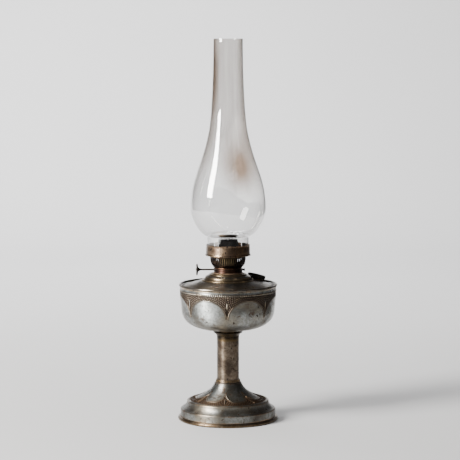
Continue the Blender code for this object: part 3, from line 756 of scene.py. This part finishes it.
def filler():
    """The filler's neck and cap, which stand square on the sloping top."""
    azimuth, slope = math.radians(FILLER_ROUND), math.atan2(CONE_DROP, CONE_RUN)
    height = CONE_TOP - (FILLER_OUT - CONE_INNER) * math.tan(slope)
    place_at = Vector((FILLER_OUT * math.cos(azimuth), FILLER_OUT * math.sin(azimuth), height)) * MM
    turn = Matrix.Translation(place_at) @ Matrix.Rotation(azimuth, 4, "Z") @ Matrix.Rotation(slope, 4, "Y")

    mean, top, bottom = 7.4, 4.4, 1.2
    thread = spaced([(mean, top), (mean, bottom)], 0.14)
    flange = [(7.18, 1.0), (9.6, 0.9), (9.8, 0.7), (9.8, 0.3), (7.1, 0.3), (7.1, -2.6), (6.3, -2.6)]
    relief = thread_relief(mean, FILLER_WAVE, FILLER_PITCH, top, bottom, False)
    obj = lathe("filler_threaded_neck", [(6.3, 4.6), (7.18, 4.6), *thread, *flange], 72, relief, turn)
    place(obj, STEM_METAL, "lamp", "worn_brass", "filler_neck")

    outside = [(0, 7.3), (9.6, 7.3), (11.1, 7.0), (11.5, 6.4), (11.5, 2.1), (11.1, 1.6), (7.97, 1.6)]
    cap = [*spaced(rounded(outside, 0.25, closed=False), 0.9), (7.97, 1.7), (7.97, 6.0), (0, 6.0)]
    obj = lathe("filler_screw_cap", cap, 240, ribs(60, 0.16, 11.3), turn)
    place(obj, BLACK, "filler_cap", "sooted_brass", "filler_cap")


# ---------------------------------------------------------------- burner


def burner():
    washer = rounded([(17.6, 187.3), (18.3, 187.3), (18.3, 186.7), (17.6, 186.7)], 0.15)
    place(lathe("burner_leather_ring", washer, 96), LEATHER, "burner_washer", "washer_leather", "burner_washer")
    wall = [(16.9, 193.9), (17.5, 193.9), (17.7, 193.6), (17.7, 192.6), (17.4, 192.2), (17.4, 191.7), (17.7, 191.3)]
    wall += [(17.7, 189.2), (17.9, 188.3), (17.9, 187.6)]
    mean, top, bottom = 16.9, 187.0, 180.4
    thread = spaced([(mean, top), (mean, bottom)], 0.2)
    inside = [(16.2, 179.6), (12.5, 179.6), (12.5, 180.3), (15.9, 180.3), (15.9, 187.0), (16.9, 188.0)]
    relief = thread_relief(mean, BURNER_WAVE, BURNER_PITCH, top, bottom, False)
    body = lathe("burner_cup", [*rounded(wall, 0.2, closed=False), (16.6, 187.6), *thread, *inside], 96, relief)
    place(body, COPPER, "burner", "browned_copper", "burner_body")
    basket()
    gallery()
    tubes()


def basket():
    """The air basket: a slotted bowl whose ribs belly out a little."""
    slots, slot_angle, bulge = 52, 3.9, 0.16
    period = 360.0 / slots
    edges = [0.0, slot_angle / 2, slot_angle, slot_angle + 1.0, slot_angle + 2.0]
    per_slot = len(edges)
    angles = [math.radians(90 - slot_angle / 2 + n * period + e) for n in range(slots) for e in edges]
    flange = [(24.8, 208.1), (23.1, 208.1), (22.75, 207.8)]
    side = bezier((22.65, 206.5), (22.2, 203.0), (21.7, 199.7), (20.6, 197.2), 8)
    floor = [(19.3, 195.4), (18.1, 194.3), (17.6, 194.2), (12.5, 194.2)]
    profile = [*flange, *side, *floor]
    first, last = len(flange), len(flange) + len(side) - 1
    rows = []
    for i, (r, z) in enumerate(profile):
        belly = [bulge if first < i < last and n % per_slot >= 3 else 0.0 for n in range(len(angles))]
        rows.append([((r + b) * math.cos(a), (r + b) * math.sin(a), z) for a, b in zip(angles, belly)])

    def is_slot(i, j):
        return first <= i < last and j % per_slot < 2

    obj = sheet_metal("burner_air_basket", rows, angles, is_slot, THIN_SHEET)
    place(obj, BASKET_METAL, "burner", "browned_copper", "burner_basket")
    rib_wear_and_glint(obj, side[-1][1], side[0][1])


def rib_wear_and_glint(obj, low, high):
    """Marks the outer faces of the ribs as worn bright, a little all round, and with a painted highlight most at the
    front, where the light catches them.
    """
    values = []
    for vertex in obj.data.vertices:
        x, y, z = vertex.co / MM
        outward = vertex.normal.x * x + vertex.normal.y * y > 0
        # painted highlight: ribs facing the front are made brightest, where the light catches them
        wear = 0.9 * math.exp(-((x / 8.0) ** 2)) if y < 0 else 0.12
        values.append(wear if outward and low < z < high else 0.0)
    attribute(obj.data, "ridge", values)


def gallery():
    """The chimney's holder, slit into nine spring fingers with rounded, slightly rolled ends."""
    slots, columns = 9, 14
    around = columns + 1
    middles = [90 + 360.0 * n / slots for n in range(slots + 1)]
    widths = [0.7 if 200 < middle < 340 else 3.3 for middle in middles]  # nearly closed at the front
    angles = []
    for n in range(slots):
        start, end = middles[n] + widths[n] / 2, middles[n + 1] - widths[n + 1] / 2
        angles += [math.radians(middles[n] - widths[n] / 2)]
        angles += [math.radians(start + (end - start) * i / columns) for i in range(columns)]
    fingers = [(27.9, 222.6), (27.6, 222.0), (27.4, 221.1), (27.5, 219.9)]
    fingers += [(27.7, 218.6), (27.8, 217.0), (27.8, 214.4), (27.8, 211.9)]
    floor = [(27.8, 211.2), (27.9, 210.8), (28.5, 210.5), (28.8, 210.0)]
    floor += [(28.8, 209.4), (28.6, 209.05), (28.2, 209.0), (23.4, 209.0)]
    finger_foot, finger_height = 211.9, 10.7
    rows = []
    for r, z in [*fingers, *floor]:
        row = []
        for n, a in enumerate(angles):
            k = n % around
            side = abs((k - 1) / columns - 0.5) * 2 if k else 1.0
            drop = 0.7 * side**10 * np.clip((z - finger_foot) / finger_height, 0, 1) ** 3
            row.append((r * math.cos(a), r * math.sin(a), z - drop))
        rows.append(row)

    def is_slit(i, j):
        return i < len(fingers) - 1 and j % around == 0

    obj = sheet_metal("gallery_fingers", rows, angles, is_slit, THIN_SHEET)
    place(obj, GALLERY_METAL, "burner", "worn_brass", "gallery")


def tubes():
    outer = rounded([(11.7, 229.0), (12.4, 229.0), (12.4, 212.0), (12.2, 211.0), (12.2, 178.6), (11.7, 178.6)], 0.12)
    place(lathe("wick_tube_outer", outer, 96), SOOTED, "burner", "sooted_brass", "outer_wick_tube")
    inner = rounded([(0, 194.6), (8.6, 194.6), (8.6, 229.0), (9.1, 229.0), (9.1, 194.0), (0, 194.0)], 0.12)
    place(lathe("wick_tube_inner", inner, 96), SOOTED, "burner", "sooted_brass", "inner_air_tube")
    for side, word in ((-1, "left"), (1, "right")):
        low, high = sorted((side * 14.2, side * 18.4))
        bush = rounded([(1.2, high), (1.9, high), (1.9, low), (1.2, low)], 0.25)
        obj = lathe(f"spindle_collar_{word}", bush, 32, None, WINDER)
        place(obj, COPPER, "burner", "browned_copper", f"spindle_bush_{word}")


WINDER = Matrix.Translation(Vector((0, WINDER_Y, WINDER_Z)) * MM) @ Matrix.Rotation(math.pi / 2, 4, "Y")


def winder():
    """The winder's shaft and knob, turned about Z and laid along X; heights here are places along the shaft."""
    spindle = [(0, 21.6), (1.35, 21.6), (1.6, 21.3), (1.6, 19.9), (1.3, 19.6), (1.1, 19.4), (1.1, -41.0), (0, -41.0)]
    obj = lathe("winder_shaft", rounded(spindle, 0.15), 32, None, WINDER)
    place(obj, BLACK, "winder", "plain_steel", "winder_spindle")
    hub = [(1.1, -34.8), (1.5, -35.0), (1.9, -36.4), (2.6, -37.4), (4.0, -38.1)]
    disc = [(6.9, -38.4), (7.3, -38.8), (7.3, -40.0), (6.9, -40.4), (3.0, -40.4), (2.6, -40.1), (1.1, -40.1)]
    obj = lathe("winder_thumb_wheel", rounded([*hub, *disc], 0.2), 192, ribs(48, 0.2, 7.1), WINDER)
    place(obj, BLACK, "winder", "sooted_brass", "winder_knob")


def wick():
    """A flat wick rolled round the inner tube, its edges apart below the air duct and meeting above it."""
    columns, outer, inner, rows = 90, 11.3, 9.5, []
    for z in np.linspace(WICK_TOP, WICK_BOTTOM, 102):
        # Half the gap between the edges, in degrees: wide round the duct, narrow where the wick burns
        half_gap = 3.0 + 1.0 * step(z, WICK_TOP, 218.0) + 18.0 * step(z, 218.0, 216.5) + 8.0 * step(z, 216.0, 190.0)
        angles = np.radians(-90 + half_gap + (360 - 2 * half_gap) * np.arange(columns + 1) / columns)
        rib = 0.08 * np.cos(np.arange(columns + 1) * math.pi)
        ring = [(r + s * rib, angles[::s]) for r, s in ((outer, 1), (inner, -1))]
        rows.append([(r * math.cos(a), r * math.sin(a), z) for radii, turns in ring for r, a in zip(radii, turns)])
    count = len(rows[0])
    points = [tuple(c * MM for c in p) for row in rows for p in row]
    faces = [
        (i * count + j, (i + 1) * count + j, (i + 1) * count + (j + 1) % count, i * count + (j + 1) % count)
        for i in range(len(rows) - 1)
        for j in range(count)
    ]
    bottom = (len(rows) - 1) * count
    for j in range(columns):
        faces.append((j, j + 1, count - 2 - j, count - 1 - j))
        faces.append((bottom + j + 1, bottom + j, bottom + count - 1 - j, bottom + count - 2 - j))
    mesh = bpy.data.meshes.new("wick_roll")
    mesh.from_pydata(points, [], faces)
    smooth(mesh, 60)
    obj = place(new_object("wick_roll", mesh), COTTON, "wick", "wick_cotton", "wick")


def flame_disc():
    disc = [(0, 233.6), (12.1, 233.6), (12.4, 233.3), (12.4, 232.2), (12.1, 231.9)]
    disc += [(1.6, 231.9), (1.6, 232.8), (0, 232.8)]
    obj = lathe("flame_spreader_disc", rounded(disc, 0.3), 96)
    place(obj, SOOTED, "flame_spreader", "sooted_brass", "flame_disc")
    stalk = [(0, 232.5), (1.3, 232.5), (1.3, 196.6), (2.0, 195.8), (8.1, 195.7), (8.1, 194.9), (0, 194.9)]
    obj = lathe("flame_spreader_stem", rounded(stalk, 0.2), 64)
    place(obj, STEEL, "flame_spreader", "plain_steel", "flame_disc_stem")


def chimney():
    neck = bezier((18.5, 480.6), (18.9, 411.0), (22.4, 376.1), (24.7, 364.6), 30)
    flank = bezier((24.7, 364.6), (33.7, 319.6), (47.7, 307.0), (47.7, 268.0), 40)[1:]
    shoulder = bezier((47.7, 268.0), (47.7, 257.5), (37.0, 237.0), (28.2, 233.9), 30)[1:]
    foot_of_glass = bezier((28.2, 233.9), (27.0, 233.5), (26.2, 233.2), (26.2, 231.6), 8)[1:]
    outside = [*neck, *flank, *shoulder, *foot_of_glass, (26.2, 220.0), (26.2, 210.3)]
    outline = rounded(shell(outside, GLASS_WALL), 0.28, steps=5)
    place(lathe("chimney_glass", outline, 144), GLASS, "chimney", "clear_glass", "chimney")


def hidden_nodes():
    """CAD nodes that stay as they are and get their material."""
    looks = {
        "foot_ballast": PLASTER,
        "tie_rod": STEEL,
        "tie_washer": STEEL,
        "tie_nut": STEEL,
        "filler_washer": LEATHER,
        "air_duct": SOOTED,
        "spur_wheel_left": BRASS,
        "spur_wheel_right": BRASS,
    }
    for name, look in looks.items():
        node = NODES[name]
        for slot in node.material_slots:
            slot.link = "OBJECT"
            slot.material = look


# ---------------------------------------------------------------- studio


def studio():
    """A pale paper sweep, a tall soft light on the left, a wash for the paper and a dim room."""
    look = Look("studio_paper", 0.0, 0.9)
    tone = look.range(look.noise(1.3, 2, 0.5), 0.3, 0.7)
    look.set("Base Color", look.mix(tone, (0.39, 0.388, 0.388), (0.40, 0.398, 0.397)))
    look.bump(look.noise(500, 3, 0.6), 0.05, 0.0002)
    left_edge, right_edge = -1.9, 0.8
    floor = [(-1.0, 0.0, -0.55), (-0.42, 0.0, 0.45), (1.7, 0.0, 0.75)]  # each row is (y, z, its right edge)
    bend = [(1.7 + math.sin(a), 1.0 - math.cos(a), right_edge) for a in np.linspace(0.1, math.pi / 2, 20)]
    sweep = [*floor, *bend, (2.7, 1.1, right_edge)]
    points = [(x, y, z) for y, z, right in sweep for x in (left_edge, right)]
    faces = [(2 * i, 2 * i + 1, 2 * i + 3, 2 * i + 2) for i in range(len(sweep) - 1)]
    mesh = bpy.data.meshes.new("backdrop")
    mesh.from_pydata(points, [], faces)
    mesh.shade_smooth()
    mesh.materials.append(look.material)
    new_object("backdrop", mesh)

    area_light("key", (-1.75, -1.05, 1.23), (0.0, 0.0, 0.22), (0.7, 1.4), 275.0, (1.0, 0.985, 0.96))
    area_light("fill", (1.9, -1.9, 1.5), (0.0, 0.0, 0.25), (1.6, 1.6), 2.0, (0.94, 0.97, 1.0))
    area_light("wash", (-0.8, 1.1, 2.0), (-0.2, 2.2, 0.2), (2.0, 0.9), 90.0, (0.97, 0.98, 1.0), spread=120)
    room()


def room():
    """A dim room all round, which is pale where it is looked at directly or through glass."""
    world = bpy.data.worlds.new("room")
    world.use_nodes = True
    nodes, links = world.node_tree.nodes, world.node_tree.links
    ray = nodes.new("ShaderNodeLightPath")
    bounces = nodes.new("ShaderNodeMath")
    links.new(ray.outputs["Diffuse Depth"], bounces.inputs[0])
    links.new(ray.outputs["Glossy Depth"], bounces.inputs[1])
    through = nodes.new("ShaderNodeMath")
    through.operation = "SUBTRACT"
    through.use_clamp = True
    links.new(ray.outputs["Is Transmission Ray"], through.inputs[0])
    links.new(bounces.outputs[0], through.inputs[1])
    seen = nodes.new("ShaderNodeMath")
    seen.operation = "MAXIMUM"
    links.new(ray.outputs["Is Camera Ray"], seen.inputs[0])
    links.new(through.outputs[0], seen.inputs[1])
    shade = nodes.new("ShaderNodeMix")
    shade.data_type = "RGBA"
    shade.inputs[COLOUR_A].default_value = (0.075, 0.072, 0.072, 1.0)
    shade.inputs[COLOUR_B].default_value = (0.66, 0.65, 0.65, 1.0)
    links.new(ray.outputs["Is Diffuse Ray"], shade.inputs["Factor"])
    tone = nodes.new("ShaderNodeMix")
    tone.data_type = "RGBA"
    tone.inputs[COLOUR_B].default_value = (1.15, 1.15, 1.16, 1.0)
    links.new(shade.outputs[COLOUR_OUT], tone.inputs[COLOUR_A])
    links.new(seen.outputs[0], tone.inputs["Factor"])
    links.new(tone.outputs[COLOUR_OUT], nodes["Background"].inputs["Color"])
    bpy.context.scene.world = world


def area_light(name, place_at, target, size, power, colour, spread=180):
    light = bpy.data.lights.new(name, "AREA")
    light.spread = math.radians(spread)
    light.shape = "RECTANGLE"
    light.size, light.size_y = size
    light.energy = power
    light.color = colour
    obj = new_object(name, light)
    obj.location = place_at
    obj.rotation_euler = (Vector(target) - Vector(place_at)).to_track_quat("-Z", "Y").to_euler()


def camera():
    """A long lens in front of the lamp, tilted a little down."""
    tilt = 6.15
    data = bpy.data.cameras.new("camera")
    data.lens, data.sensor_width = 150.0, 36.0
    obj = new_object("camera", data)
    obj.location = (0.0025, -2.4, 0.4994)
    obj.rotation_euler = (math.radians(90 - tilt), 0.0, 0.0)
    bpy.context.scene.camera = obj


camera()
studio()
foot()
stem()
font()
filler()
burner()
winder()
wick()
flame_disc()
chimney()
hidden_nodes()
